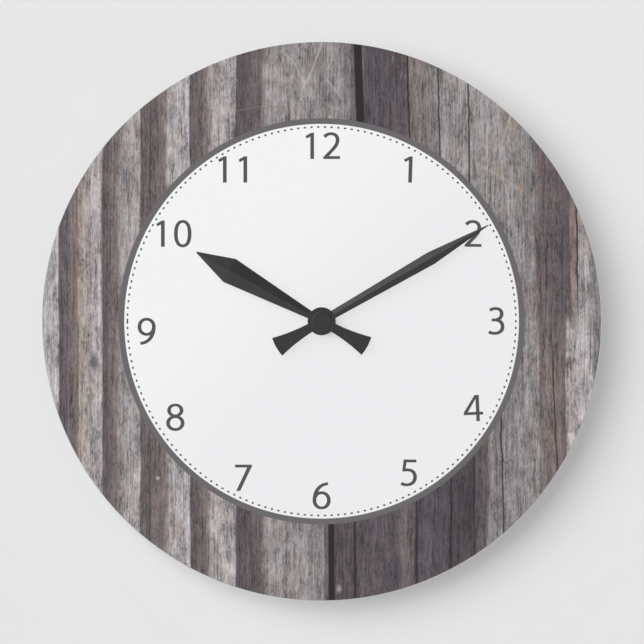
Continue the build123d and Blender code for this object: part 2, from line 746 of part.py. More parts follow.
with BuildPart() as third_wheel:
    round_bar(4.5, 13.0, pivot_diameter, third_arbor)
    round_bar(5.7, 11.5, 1.4, third_arbor)
    gear(third_wheel_rear, third_wheel_front, third_teeth, third_module, third_turn, third_arbor)
    lightening_holes(third_wheel_rear, third_wheel_front, 6, 3.2, 5.8, third_turn, third_arbor)
    round_bar(6.2, 8.6, 3.0, third_arbor)
    gear(10.1, 11.3, third_pinion_teeth, centre_module, third_turn, third_arbor)
third_wheel.part.label = "third_wheel"
export_step(third_wheel.part, "parts/third_wheel.step")

with BuildPart() as seconds_arbor:
    round_bar(0.6, 31.3, seconds_arbor_diameter)
seconds_arbor.part.label = "seconds_arbor"
export_step(seconds_arbor.part, "parts/seconds_arbor.step")

with BuildPart() as fourth_wheel:
    round_bar(2.8, 4.4, 2.6)
    round_bar(4.4, 6.0, 1.5)
    gear(fourth_wheel_rear, fourth_wheel_front, fourth_teeth, fourth_module, fourth_turn)
    lightening_holes(fourth_wheel_rear, fourth_wheel_front, 4, 2.2, 3.5, fourth_turn)
    gear(6.0, 8.0, fourth_pinion_teeth, third_module, fourth_turn)
    round_bar(2.8, 8.0, seconds_arbor_diameter, mode=Mode.SUBTRACT)
fourth_wheel.part.label = "fourth_wheel"
export_step(fourth_wheel.part, "parts/fourth_wheel.step")

with BuildPart() as fifth_wheel:
    round_bar(1.3, 9.8, pivot_diameter, fifth_arbor)
    round_bar(2.5, 8.8, 1.0, fifth_arbor)
    gear(2.6, 4.2, fifth_pinion_teeth, fourth_module, fifth_turn, fifth_arbor)
    round_bar(4.2, fifth_wheel_rear, 2.0, fifth_arbor)
    gear(fifth_wheel_rear, fifth_wheel_front, fifth_teeth, fifth_module, fifth_turn, fifth_arbor)
    lightening_holes(fifth_wheel_rear, fifth_wheel_front, 4, 2.2, 3.4, fifth_turn, fifth_arbor)
fifth_wheel.part.label = "fifth_wheel"
export_step(fifth_wheel.part, "parts/fifth_wheel.step")

with BuildPart() as rotor_pinion:
    round_bar(3.4, 9.8, pivot_diameter, rotor_arbor)
    round_bar(4.5, 8.75, 1.6, rotor_arbor)
    gear(4.6, 6.2, rotor_pinion_teeth, fifth_module, rotor_turn, rotor_arbor)
    round_bar(6.2, 6.8, 3.0, rotor_arbor)
rotor_pinion.part.label = "rotor_pinion"
export_step(rotor_pinion.part, "parts/rotor_pinion.step")

with BuildPart() as rotor_magnet:
    round_bar(6.8, 8.6, 5.6, rotor_arbor)
    round_bar(6.8, 8.6, 1.6, rotor_arbor, Mode.SUBTRACT)
rotor_magnet.part.label = "rotor_magnet"
export_step(rotor_magnet.part, "parts/rotor_magnet.step")

# ==== HANDS ===========================================================================================
# Each hand is a roof: its ridge runs from the hub to the tip, and its edges spread from the hub to a
# shoulder and then close to the point.  Stations are (reach from the hub, full width).
minute_stations = [(4.0, 3.98), (59.8, 6.40), (61.4, 6.42), (62.6, 6.25), (93.4, 0.42)]
hour_stations = [(4.0, 3.45), (50.0, 12.50), (51.0, 12.60), (51.8, 12.30), (69.5, 0.55)]
roof_slope = 0.17
tail_corners = [(2.2, -6.8), (3.05, -15.6), (4.95, -24.91)]


def roof_section(width):
    """Section of a hand: an upright edge on each side, and a ridge along the middle."""
    half = width / 2
    Polygon(
        (-half, 0),
        (half, 0),
        (half, hand_edge),
        (0, hand_edge + roof_slope * half),
        (-half, hand_edge),
        align=None,
    )


def hand_blade(rear, heading, stations):
    """Roofed blade of a hand, lofted through its stations."""
    sections = []
    for reach, width in stations:
        with BuildSketch(across_hand(rear, heading, reach)) as section:
            roof_section(width)
        sections.append(section.sketch.face())
    loft(sections, ruled=True)


def hand_tail(rear, heading):
    """Flat tail that flares from the hub and ends in an arc about it."""
    root, middle, corner = tail_corners
    with BuildSketch(along_hand(rear, heading)) as tail:
        with BuildLine():
            Line((2.0, 0), root)
            ThreePointArc(root, middle, corner)
            ThreePointArc(corner, (0, -tail_reach), (-corner[0], corner[1]))
            ThreePointArc((-corner[0], corner[1]), (-middle[0], middle[1]), (-root[0], root[1]))
            Line((-root[0], root[1]), (-2.0, 0))
            Line((-2.0, 0), (2.0, 0))
        make_face()
        fillet(tail.vertices().sort_by(Axis.Y)[:2], 0.35)
    extrude(tail.sketch, amount=hand_edge)


def hand_hub(rear, bore):
    """Round hub with a broken front edge, and the hole for the hand's collet."""
    turned(
        [
            (0, rear),
            (hub_diameter / 2, rear),
            (hub_diameter / 2, rear + hub_thickness - 0.15),
            (hub_diameter / 2 - 0.15, rear + hub_thickness),
            (0, rear + hub_thickness),
        ]
    )
    round_bar(rear, rear + 2 * hub_thickness, bore, mode=Mode.SUBTRACT)


with BuildPart() as hour_hand:
    hand_blade(hour_hand_rear, hour_heading, hour_stations)
    hand_tail(hour_hand_rear, hour_heading)
    hand_hub(hour_hand_rear, hour_collet_diameter)
hour_hand.part.label = "hour_hand"
export_step(hour_hand.part, "parts/hour_hand.step")

with BuildPart() as hour_collet:
    round_bar(26.3, hour_pipe_front, hour_collet_diameter)
    round_bar(26.3, hour_pipe_front, hour_pipe_diameter, mode=Mode.SUBTRACT)
hour_collet.part.label = "hour_collet"
export_step(hour_collet.part, "parts/hour_collet.step")

with BuildPart() as minute_hand:
    hand_blade(minute_hand_rear, minute_heading, minute_stations)
    hand_tail(minute_hand_rear, minute_heading)
    hand_hub(minute_hand_rear, minute_collet_diameter)
minute_hand.part.label = "minute_hand"
export_step(minute_hand.part, "parts/minute_hand.step")

with BuildPart() as minute_collet:
    round_bar(28.8, minute_hand_rear + hub_thickness, minute_collet_diameter)
    round_bar(28.8, minute_hand_rear + hub_thickness, minute_pipe_diameter, mode=Mode.SUBTRACT)
minute_collet.part.label = "minute_collet"
export_step(minute_collet.part, "parts/minute_collet.step")

cap_rear = minute_hand_rear + hub_thickness
with BuildPart() as centre_cap:
    round_bar(cap_rear, cap_front, cap_diameter)
    fillet(centre_cap.faces().sort_by(Axis.Y)[0].edges(), cap_round)
    round_bar(cap_rear, minute_pipe_front + 0.1, minute_pipe_diameter, mode=Mode.SUBTRACT)
centre_cap.part.label = "centre_cap"
export_step(centre_cap.part, "parts/centre_cap.step")
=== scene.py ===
"""Looks of the round wall clock: print, ink, paint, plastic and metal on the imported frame.

Everything is in metres in the part's frame: +Z up, the dial faces -Y, the hands' axis is the line X = Z = 0.
Lengths named in millimetres are turned into metres with MM where geometry is made; in the shaders
the coordinates themselves are turned into millimetres.
"""
import math

import bmesh
import bpy
from mathutils import Matrix, Vector, geometry


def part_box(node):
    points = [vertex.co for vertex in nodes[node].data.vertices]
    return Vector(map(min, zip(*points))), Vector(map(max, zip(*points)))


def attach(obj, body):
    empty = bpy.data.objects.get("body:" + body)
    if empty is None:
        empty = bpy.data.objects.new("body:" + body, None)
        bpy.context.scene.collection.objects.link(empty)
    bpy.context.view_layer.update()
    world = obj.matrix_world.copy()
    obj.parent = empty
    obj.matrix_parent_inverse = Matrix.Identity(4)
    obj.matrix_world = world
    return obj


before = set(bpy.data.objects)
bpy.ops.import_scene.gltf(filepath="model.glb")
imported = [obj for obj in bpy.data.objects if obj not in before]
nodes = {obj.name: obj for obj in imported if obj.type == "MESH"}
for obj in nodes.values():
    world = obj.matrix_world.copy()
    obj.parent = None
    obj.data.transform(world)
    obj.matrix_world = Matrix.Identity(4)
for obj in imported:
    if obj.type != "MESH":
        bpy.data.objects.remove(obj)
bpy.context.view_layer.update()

MM = 0.001
FILM_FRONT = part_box("printed_face")[0].y


# ==== shader helpers ==========================================================================
def tone(red, green, blue):
    """Linear colour, with alpha, of a display colour from 0 to 255."""
    return tuple(
        (v / 255 / 12.92 if v <= 10 else ((v / 255 + 0.055) / 1.055) ** 2.4) for v in (red, green, blue)
    ) + (1.0,)


def grey(value):
    return tone(value, value, value)


class Graph:
    """The shader nodes of one material, with a short call for each kind that is used here."""

    def __init__(self, name, **shader):
        self.material = bpy.data.materials.new(name)
        self.material.use_nodes = True
        self.tree = self.material.node_tree
        self.tree.nodes.clear()
        self.output = self.node("ShaderNodeOutputMaterial")
        self.shader = self.node("ShaderNodeBsdfPrincipled")
        self.tree.links.new(self.shader.outputs[0], self.output.inputs["Surface"])
        self.place = self.node("ShaderNodeTexCoord").outputs["Object"]
        self.normal = self.node("ShaderNodeTexCoord").outputs["Normal"]
        self.set(**shader)

    def feed(self, socket, value):
        if isinstance(value, bpy.types.NodeSocket):
            self.tree.links.new(value, socket)
        else:
            socket.default_value = value

    def set(self, **values):
        """Shader sockets by name, with _ for a space: a constant, or the output of a node."""
        for name, value in values.items():
            self.feed(self.shader.inputs[name.replace("_", " ")], value)

    def node(self, kind, inputs=(), **settings):
        made = self.tree.nodes.new(kind)
        for name, value in settings.items():
            setattr(made, name, value)
        for name, value in dict(inputs).items():
            self.feed(made.inputs[name], value)
        return made

    def math(self, operation, a, b=0.0, c=0.0):
        return self.node("ShaderNodeMath", {0: a, 1: b, 2: c}, operation=operation).outputs[0]

    def plus(self, a, b):
        return self.math("ADD", a, b)

    def minus(self, a, b):
        return self.math("SUBTRACT", a, b)

    def times(self, a, b):
        return self.math("MULTIPLY", a, b)

    def length(self, a, b):
        return self.math("SQRT", self.plus(self.times(a, a), self.times(b, b)))

    def coords(self, stretch=(1, 1, 1)):
        """Place in millimetres in the part's frame, each axis times its stretch."""
        scale = tuple(s / MM for s in stretch)
        return self.node("ShaderNodeMapping", {"Vector": self.place, "Scale": scale}).outputs[0]

    def axes(self):
        """X, Y and Z in millimetres."""
        return self.node("ShaderNodeSeparateXYZ", {0: self.coords()}).outputs

    def noise(self, stretch, detail=2.0, rough=0.5, seed=0.0):
        """Smooth noise from 0 to 1; stretch is the cycles per millimetre along X, Y and Z."""
        return self.noise_at(self.coords(stretch), detail, rough, seed)

    def noise_at(self, vector, detail, rough, seed, twist=0.0):
        """Smooth noise from 0 to 1 at a vector, with features about one unit wide."""
        inputs = {"Vector": vector, "W": seed, "Scale": 1.0, "Detail": detail, "Roughness": rough}
        inputs["Distortion"] = twist
        return self.node("ShaderNodeTexNoise", inputs, noise_dimensions="4D").outputs["Fac"]

    def grain(self, x, z, across_mm, along_mm, seed, detail, rough, twist=0.0):
        """Noise from 0 to 1 with features across_mm wide and along_mm long."""
        inputs = {0: self.math("DIVIDE", x, across_mm), 2: self.math("DIVIDE", z, along_mm)}
        place = self.node("ShaderNodeCombineXYZ", inputs).outputs[0]
        return self.noise_at(place, detail, rough, seed, twist)

    def ramp(self, value, stops):
        """Colour (or grey level) against a value from 0 to 1."""
        made = self.node("ShaderNodeValToRGB", {0: value})
        elements = made.color_ramp.elements
        while len(elements) < len(stops):
            elements.new(1.0)
        for element, (at, colour) in zip(elements, sorted(stops, key=lambda s: s[0])):
            element.position = at
            element.color = colour if isinstance(colour, tuple) else (colour, colour, colour, 1.0)
        return made.outputs["Color"]

    def fit(self, value, low, high, out_low=0.0, out_high=1.0, kind="LINEAR"):
        """Value mapped from low..high to out_low..out_high, held at both ends."""
        inputs = {0: value, 1: low, 2: high, 3: out_low, 4: out_high}
        return self.node("ShaderNodeMapRange", inputs, interpolation_type=kind).outputs[0]

    def mix(self, share, a, b, blend="MIX"):
        made = self.node("ShaderNodeMix", data_type="RGBA", blend_type=blend)
        for socket, value in ((made.inputs[0], share), (made.inputs[6], a), (made.inputs[7], b)):
            self.feed(socket, value)
        return made.outputs[2]

    def scale_colour(self, colour, factor):
        """Colour times a number from a node."""
        if isinstance(colour, tuple):
            colour = colour[:3]
        return self.node("ShaderNodeVectorMath", {0: colour, 3: factor}, operation="SCALE").outputs[0]

    def bump(self, height, depth_mm):
        """Normal from a height from 0 to 1 that stands for depth_mm."""
        inputs = {"Height": height, "Distance": depth_mm * MM, "Strength": 1.0}
        return self.node("ShaderNodeBump", inputs).outputs[0]


# ==== wood print ===============================================================================
WOOD = {
    "silver": tone(170, 164, 166),
    "pale": tone(162, 155, 154),
    "beige": tone(154, 144, 139),
    "ash": tone(143, 137, 137),
    "stone": tone(128, 124, 124),
    "brown": tone(118, 107, 104),
    "dusk": tone(101, 91, 92),
    "plum": tone(88, 79, 82),
    "slate": tone(80, 74, 79),
    "char": tone(70, 65, 69),
    "gap": tone(32, 28, 31),
    "russet": tone(128, 112, 106),
    "ochre": tone(164, 142, 122),
    "cream": tone(192, 184, 180),
}
# Tints that the wood's colour is multiplied by.
WARM_TINT, VIOLET_TINT, BROWN_CLOUD = (1.04, 0.995, 0.95, 1), (0.95, 1.0, 1.06, 1), (1.12, 0.98, 0.88, 1)
FILM_BACKING = grey(112)
LAST_BOARD = 12.0  # width of the last board of a row, mm
JOINT_STEP = 0.15  # half of the step between two boards' tones, mm
MOST_RAGGED = 4.0  # mm
FAR = 99.0  # mm
CRACK_BLUR = 0.25  # half of the width over which a crack's edge fades, mm
# Boards from left to right: where each begins, in mm from the centre, how ragged that edge is, in mm,
# and the board's tones at both of its sides.
BOARDS_LEFT = [
    (-137.0, 0.0, "silver", "silver"),
    (-128.4, 0.1, "plum", "brown"),
    (-118.7, 0.6, "ochre", "beige"),
    (-117.3, 0.6, "beige", "silver"),
    (-107.2, 0.1, "plum", "brown"),
    (-99.0, 2.4, "ash", "pale"),
    (-88.6, 0.1, "dusk", "dusk"),
    (-82.6, 1.4, "dusk", "brown"),
    (-75.4, 2.4, "pale", "silver"),
    (-63.9, 0.1, "plum", "brown"),
    (-54.4, 2.2, "pale", "pale"),
    (-41.9, 0.1, "slate", "dusk"),
    (-28.0, 2.8, "ash", "ash"),
]
BOARDS_UPPER = [
    (-10.5, 2.0, "ash", "stone"),
    (2.0, 2.4, "ash", "stone"),
    (13.6, 1.6, "dusk", "plum"),
    (21.5, 0.1, "slate", "slate"),
    (30.0, 1.6, "slate", "plum"),
    (41.6, 1.4, "brown", "stone"),
    (57.0, 0.2, "ash", "ash"),
    (71.6, 0.4, "ash", "ash"),
    (88.0, 2.6, "ash", "stone"),
    (104.2, 2.0, "dusk", "plum"),
    (121.6, 0.3, "russet", "russet"),
    (124.2, 0.3, "ash", "pale"),
    (130.8, 1.0, "stone", "ash"),
]
BOARDS_LOWER = [
    (-10.5, 2.0, "ash", "stone"),
    (1.2, 0.2, "dusk", "dusk"),
    (6.8, 0.8, "plum", "slate"),
    (16.4, 0.1, "plum", "slate"),
    (37.4, 1.8, "dusk", "dusk"),
    (45.2, 0.3, "char", "slate"),
    (49.2, 1.0, "slate", "slate"),
    (63.4, 0.1, "char", "char"),
    (74.6, 0.2, "slate", "dusk"),
    (81.4, 1.8, "stone", "stone"),
    (88.6, 0.2, "stone", "ash"),
    (106.2, 0.3, "brown", "brown"),
    (112.6, 0.3, "brown", "dusk"),
    (119.0, 0.5, "pale", "silver"),
    (132.8, 0.8, "stone", "ash"),
]
# Dark joints and cracks: which half, X and its drift per mm of height, width, and strength.
CRACKS = [
    ("both", -124.2, 0.000, 0.50, 0.45),
    ("both", -104.6, 0.004, 0.45, 0.40),
    ("both", -83.6, 0.002, 0.60, 0.62),
    ("both", -34.8, 0.000, 0.35, 0.30),
    ("upper", 22.4, -0.0360, 3.90, 1.00),
    ("lower", 3.9, -0.0080, 3.00, 1.00),
    ("upper", 45.6, -0.0300, 0.80, 0.95),
    ("upper", 59.6, -0.0240, 0.75, 0.85),
    ("upper", 73.4, -0.0160, 0.75, 0.90),
    ("upper", 125.2, -0.0180, 0.80, 0.95),
    ("lower", 16.3, 0.0000, 1.30, 0.85),
    ("lower", 45.9, -0.0050, 0.75, 0.80),
    ("lower", 63.4, 0.0040, 0.85, 0.90),
    ("lower", 74.8, 0.0030, 0.60, 0.80),
    ("lower", 86.0, -0.0283, 0.80, 0.90),
    ("lower", 106.6, 0.0000, 0.30, 0.40),
    ("lower", 111.8, -0.0420, 0.65, 0.85),
]
# Pale scratches: their points (x, z) in mm, width and strength.
SCRATCHES = [
    ([(0.1, 135.5), (-2.9, 127.3), (-5.4, 120.3), (-8.9, 114.3)], 0.70, 0.58),
    ([(-18.4, 130.8), (-12.9, 125.3), (-10.9, 120.3), (-8.4, 116.3)], 0.65, 0.54),
    ([(1.2, 120.3), (5.2, 114.3), (10.2, 108.3)], 0.55, 0.40),
    ([(-46.9, 123.8), (-41.4, 117.3)], 0.45, 0.40),
    ([(-53.9, 103.5), (-51.0, 108.8), (-47.0, 112.2)], 0.45, 0.40),
    ([(-95.0, 97.3), (-92.5, 91.3)], 0.45, 0.40),
    ([(-112.0, 73.2), (-109.0, 57.2)], 0.45, 0.35),
    ([(-44.0, 102.0), (-26.0, 105.4), (-8.0, 106.2)], 0.40, 0.16),
    ([(-97.5, 104.0), (-93.0, 96.0), (-91.0, 88.0)], 0.60, 0.35),
    ([(92.0, 100.0), (88.8, 90.0), (86.8, 80.0)], 0.60, 0.40),
    ([(86.8, 80.0), (88.6, 69.0), (91.4, 58.8)], 0.55, 0.36),
    ([(78.0, 75.2), (86.0, 71.4), (98.2, 63.3)], 0.60, 0.34),
]
# Warm stains and pale knots: centre (x, z), size across and along the grain, tone and strength.
STAINS = [
    ((86.3, 72.7), 3.0, 4.6, "ochre", 0.42),
    ((96.8, 64.7), 3.0, 3.2, "ochre", 0.42),
    ((92.8, 97.3), 4.0, 6.0, "ochre", 0.45),
    ((125.9, 50.8), 2.2, 4.0, "ochre", 0.50),
    ((-69.5, -99.5), 2.6, 3.4, "ochre", 0.60),
    ((-101.0, -41.0), 1.6, 3.2, "ochre", 0.40),
    ((-80.0, -76.5), 1.2, 1.2, "cream", 0.80),
    ((96.7, -78.7), 1.4, 3.0, "cream", 0.35),
    ((8.6, -130.5), 1.6, 2.6, "cream", 0.50),
    ((126.0, -2.0), 3.0, 7.0, "cream", 0.35),
    ((-117.6, 8.0), 0.8, 30.0, "ochre", 0.35),
]


def across_boards(g, x, boards, stops):
    """Ramp across a row of boards; stops are (mm from the centre, colour or level)."""
    low, high = boards[0][0], boards[-1][0] + LAST_BOARD
    return g.ramp(g.fit(x, low, high), [((at - low) / (high - low), value) for at, value in stops])


def board_colour(g, x, boards):
    """Colour across the boards: a crisp step at each joint, and a fade where the edge is ragged."""
    edges = [(start, max(JOINT_STEP, 0.5 * ragged)) for start, ragged, _, _ in boards]
    edges.append((boards[-1][0] + LAST_BOARD, JOINT_STEP))
    stops = []
    for (_, _, first, last), (start, fade_in), (end, fade_out) in zip(boards, edges, edges[1:]):
        stops += [(start + fade_in, WOOD[first]), (end - fade_out, WOOD[last])]
    return across_boards(g, x, boards, stops)


def raggedness(g, x, boards):
    """How far, in mm, the wood's tone frays at a place across the boards."""
    stops = [(start, ragged / MOST_RAGGED) for start, ragged, _, _ in boards]
    return g.times(across_boards(g, x, boards, stops), MOST_RAGGED)


def wood_print():
    g = Graph("weathered_wood_print", Specular_IOR_Level=0.35)
    plain_x, _, z = g.axes()

    def along(across_mm, along_mm, seed, detail=2.0, rough=0.55, x=plain_x, twist=0.0):
        """Noise from -0.5 to 0.5, drawn out along the grain."""
        return g.minus(g.grain(x, z, across_mm, along_mm, seed, detail, rough, twist), 0.5)

    def total(*parts):
        """Sum of (value, share) pairs."""
        level = 0.0
        for value, share in parts:
            level = g.math("MULTIPLY_ADD", value, share, level)
        return level

    # the boards' edges wander a little along their length
    sway, shiver = along(50.0, 62.0, 1.3), along(10.0, 11.0, 2.1, 3.0)
    bent_x = g.plus(plain_x, total((sway, 2.6), (shiver, 0.8)))
    fray = total((along(0.8, 15.0, 3.7, 3.0, 0.65), 2.0), (along(4.0, 26.0, 3.1, 3.0), 2.6))
    lower = g.fit(g.plus(z, g.times(shiver, 60.0)), 14.0, -14.0)

    def tones(boards):
        frayed_x = g.math("MULTIPLY_ADD", fray, raggedness(g, bent_x, boards), bent_x)
        return board_colour(g, frayed_x, boards)

    def each_row(look):
        """look(boards) of the row that a place lies in: left, upper right or lower right."""
        is_right = g.math("GREATER_THAN", bent_x, BOARDS_UPPER[0][0])
        return g.mix(is_right, look(BOARDS_LEFT), g.mix(lower, look(BOARDS_UPPER), look(BOARDS_LOWER)))

    base = each_row(tones)

    # grain: long hair lines, crisp fibres, streaks and blotches; then clouds, which are strongest on the
    # pale boards, and the pale and dark flecks of torn fibre. Each has its width and length in mm first.
    hair = along(0.9, 42.0, 4.0, 3.0, 0.7, bent_x)
    fibre = along(0.72, 5.5, 5.5, 3.0, 0.7, bent_x)
    crisp = along(0.5, 1.9, 15.8, 2.0, 0.6, bent_x)
    streak = along(3.0, 26.0, 6.2, x=bent_x)
    blotch = along(7.0, 18.0, 7.7, x=bent_x)
    cloud = along(4.2, 6.0, 10.3, 5.0, 0.68, bent_x, twist=1.1)
    island = along(8.0, 13.0, 13.1, 3.0, 0.55, bent_x)
    split = along(0.6, 48.0, 14.7, 2.0, 0.5, bent_x)
    fleck = along(0.8, 2.6, 11.9, 3.0, 0.7, bent_x)
    paleness = g.fit(g.node("ShaderNodeRGBToBW", {0: base}).outputs[0], 0.12, 0.30, 0.55, 1.0)
    level = total((hair, 1.9), (fibre, 2.2), (crisp, 1.7), (streak, 1.2), (blotch, 0.5))
    level = g.math("MULTIPLY_ADD", paleness, total((cloud, 1.6), (island, 1.5)), level)
    level = g.plus(level, g.fit(split, 0.14, 0.24, 0.0, -0.55))
    level = g.plus(level, g.fit(fleck, 0.15, 0.27, 0.0, 0.30))
    level = g.plus(level, g.fit(fleck, -0.27, -0.15, -0.18, 0.0))
    colour = g.scale_colour(base, g.math("MAXIMUM", g.plus(level, 1.0), 0.2))
    # tint wanders between a warm and a violet grey, and warm brown clouds lie where a board frays
    tint = g.ramp(g.plus(along(4.0, 22.0, 8.8, x=bent_x), 0.5), [(0.25, WARM_TINT), (0.75, VIOLET_TINT)])
    colour = g.mix(0.9, colour, tint, "MULTIPLY")
    frayed = each_row(lambda boards: raggedness(g, bent_x, boards))
    warm = g.times(g.fit(along(3.2, 7.0, 12.6, 4.0, 0.6, bent_x), 0.0, 0.2), g.fit(frayed, 0.3, 2.2))
    colour = g.mix(g.times(warm, 0.6), colour, BROWN_CLOUD, "MULTIPLY")

    upper_only, lower_only = g.fit(z, -6.0, 24.0), g.fit(z, 6.0, -24.0)
    for (cx, cz), across, along_grain, name, strength in STAINS:
        dx = g.math("DIVIDE", g.minus(bent_x, cx), across)
        dz = g.math("DIVIDE", g.minus(z, cz), along_grain)
        spread = g.plus(g.length(dx, dz), g.times(fibre, 1.6))
        colour = g.mix(g.fit(spread, 1.1, 0.2, 0.0, strength, "SMOOTHSTEP"), colour, WOOD[name])
    # thin pale scores that cross the grain at a slant
    slant_z = g.math("MULTIPLY_ADD", plain_x, -0.32, z)
    for lean, seed in ((0.32, 21.0), (-0.22, 24.0)):
        slant_x = g.math("MULTIPLY_ADD", z, lean, plain_x)
        score = g.grain(slant_x, slant_z, 0.9, 16.0, seed, detail=1.0, rough=0.5)
        share = g.times(g.fit(score, 0.68, 0.78, 0.0, 0.42), g.fit(z, -40.0, 40.0, 0.2, 0.9))
        colour = g.mix(share, colour, WOOD["cream"])
    for points, width, strength in SCRATCHES:
        nearest = FAR
        for (ax, az), (bx, bz) in zip(points, points[1:]):
            length = math.hypot(bx - ax, bz - az)
            ux, uz = (bx - ax) / length, (bz - az) / length
            rx, rz = g.minus(plain_x, ax), g.minus(z, az)
            run = g.plus(g.times(rx, ux), g.times(rz, uz))
            off = g.math("ABSOLUTE", g.minus(g.times(rx, uz), g.times(rz, ux)))
            past = g.math("MAXIMUM", g.times(run, -1.0), g.minus(run, length))
            nearest = g.math("MINIMUM", nearest, g.math("MAXIMUM", off, past))
        nearest = g.plus(nearest, g.times(fleck, 0.7))
        colour = g.mix(g.fit(nearest, width, 0.2 * width, 0.0, strength), colour, WOOD["cream"])
    # dark joints and cracks, which wander to one side or the other in turn; wide ones wander less
    wander = g.times(g.minus(g.noise((0.0, 0.0, 0.09), 3.0, seed=9.4), 0.5), 1.8)
    cracks = 0.0
    for index, (half, at, drift, width, strength) in enumerate(CRACKS):
        turn = (1.0, -1.0)[index % 2] * min(1.0, 0.8 / width)
        off = g.plus(g.minus(plain_x, g.plus(g.times(z, drift), at)), g.times(wander, turn))
        outer, inner = 0.5 * width + CRACK_BLUR, max(0.0, 0.5 * width - CRACK_BLUR)
        line = g.fit(g.math("ABSOLUTE", off), outer, inner, 0.0, strength, "SMOOTHSTEP")
        if half != "both":
            line = g.times(line, upper_only if half == "upper" else lower_only)
        cracks = g.math("MAXIMUM", cracks, line)
    colour = g.mix(cracks, colour, WOOD["gap"])

    # the film's rear face is its opaque grey backing
    _, rearward, _ = g.node("ShaderNodeSeparateXYZ", {0: g.normal}).outputs
    g.set(Base_Color=g.mix(g.math("GREATER_THAN", rearward, 0.5), colour, FILM_BACKING))
    g.set(Roughness=g.fit(level, -0.5, 0.5, 0.56, 0.44))
    g.set(Normal=g.bump(g.minus(g.plus(level, 0.5), cracks), 0.02))
    return g.material


# ==== ink on the dial ==========================================================================
def ink(name, colour, mottle, rough):
    """Satin ink with a faint mottle, as a printer lays it down."""
    g = Graph(name, Specular_IOR_Level=0.3)
    dots = g.noise((1.1, 1.1, 1.1), detail=3.0, rough=0.6)
    haze = g.noise((0.02, 0.02, 0.02), detail=1.0, seed=3.0)
    level = g.plus(g.fit(dots, 0.3, 0.7, -mottle, mottle), g.fit(haze, 0.3, 0.7, 1 - mottle, 1 + mottle))
    g.set(Base_Color=g.scale_colour(colour, level))
    g.set(Roughness=g.fit(dots, 0.3, 0.7, rough - 0.04, rough + 0.04), Normal=g.bump(dots, 0.004))
    return g.material


def dial_ink_with_painted_light():
    """White ink with painted light: a shade brighter towards the upper left of the dial, painted in for the
    lamp's falloff across it.
    """
    g = Graph("dial_white_ink_painted_light", Specular_IOR_Level=0.3)
    x, _, z = g.axes()
    dots = g.noise((1.1, 1.1, 1.1), detail=3.0, rough=0.6)
    # painted light: the lamp's falloff across the dial, brighter towards the upper left
    lamp_falloff_share = g.fit(g.minus(z, x), -20.0, 85.0, kind="SMOOTHSTEP")
    ink_with_lamp_falloff = g.mix(lamp_falloff_share, tone(237.5, 237.5, 239.5), tone(243.6, 243.6, 245))
    g.set(Base_Color=g.scale_colour(ink_with_lamp_falloff, g.fit(dots, 0.3, 0.7, 0.996, 1.004)))
    g.set(Roughness=g.fit(dots, 0.3, 0.7, 0.46, 0.54), Normal=g.bump(dots, 0.004))
    return g.material


# A layer of ink: where its rear lies, in mm in front of the film, and how thick it is. The dial's rear is
# sunk into the film, and the figures' rear into the dial.
DIAL_LAYER = (-0.01, 0.06)
FIGURE_LAYER = (0.04, 0.05)
DIAL_HOLE, DIAL_EDGE, RING_EDGE = 6.6, 96.2, 99.0  # radii, mm
ANNULUS_STEPS = 360


def placed(name, mesh, material):
    """Object in the scene from a finished bmesh."""
    data = bpy.data.meshes.new(name)
    mesh.to_mesh(data)
    mesh.free()
    data.materials.append(material)
    made = bpy.data.objects.new(name, data)
    bpy.context.scene.collection.objects.link(made)
    return made


def prism(name, corners, faces, layer, material):
    """Closed flat solid of ink: outline faces in (x, z) mm, raised towards the reader."""
    rear_mm, thickness_mm = layer
    mesh = bmesh.new()
    rear_y = FILM_FRONT - rear_mm * MM
    front_y = rear_y - thickness_mm * MM
    front = [mesh.verts.new((x * MM, front_y, z * MM)) for x, z in corners]
    rear = [mesh.verts.new((x * MM, rear_y, z * MM)) for x, z in corners]
    used = {}
    for face in faces:
        mesh.faces.new([front[i] for i in face])
        mesh.faces.new([rear[i] for i in reversed(face)])
        for a, b in zip(face, face[1:] + face[:1]):
            used[(a, b)] = used.get((a, b), 0) + 1
    for a, b in used:
        if (b, a) not in used:
            mesh.faces.new([front[b], front[a], rear[a], rear[b]])
    loose = [v for v in mesh.verts if not v.link_faces]
    bmesh.ops.delete(mesh, geom=loose, context="VERTS")
    bmesh.ops.recalc_face_normals(mesh, faces=mesh.faces)
    made = placed(name, mesh, material)
    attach(made, "root")


def annulus(name, inner, outer, material):
    corners, faces = [], []
    for k in range(ANNULUS_STEPS):
        turn = 2 * math.pi * k / ANNULUS_STEPS
        corners += [(radius * math.sin(turn), radius * math.cos(turn)) for radius in (inner, outer)]
        a, b = 2 * k, 2 * ((k + 1) % ANNULUS_STEPS)
        faces.append([a, a + 1, b + 1, b])
    prism(name, corners, faces, DIAL_LAYER, material)


# ==== numerals =================================================================================
UPRIGHT, LEVEL = 1.80, 1.40  # the pen's width on an upright and on a level run, mm
SPAN_STEPS, BOWL_STEPS = 9, 44


def bezier(points):
    """Points along a chain of cubic spans that share their ends."""
    line = []
    for k in range(0, len(points) - 1, 3):
        a, b, c, d = (Vector(p) for p in points[k : k + 4])
        for i in range(SPAN_STEPS + (k + 4 >= len(points))):
            t = i / SPAN_STEPS
            line.append((1 - t) ** 3 * a + 3 * t * (1 - t) ** 2 * b + 3 * t * t * (1 - t) * c + t**3 * d)
    return line


def stroke(points):
    """A pen stroke along a curve as a row of four-cornered patches."""
    line = bezier(points)
    left, right = [], []
    for i, p in enumerate(line):
        along = (line[min(i + 1, len(line) - 1)] - line[max(i - 1, 0)]).normalized()
        half = 0.5 * (LEVEL + (UPRIGHT - LEVEL) * abs(along.y) ** 1.4)
        side = Vector((-along.y, along.x)) * half
        left.append(p + side)
        right.append(p - side)
    return [[right[i], right[i + 1], left[i + 1], left[i]] for i in range(len(line) - 1)]


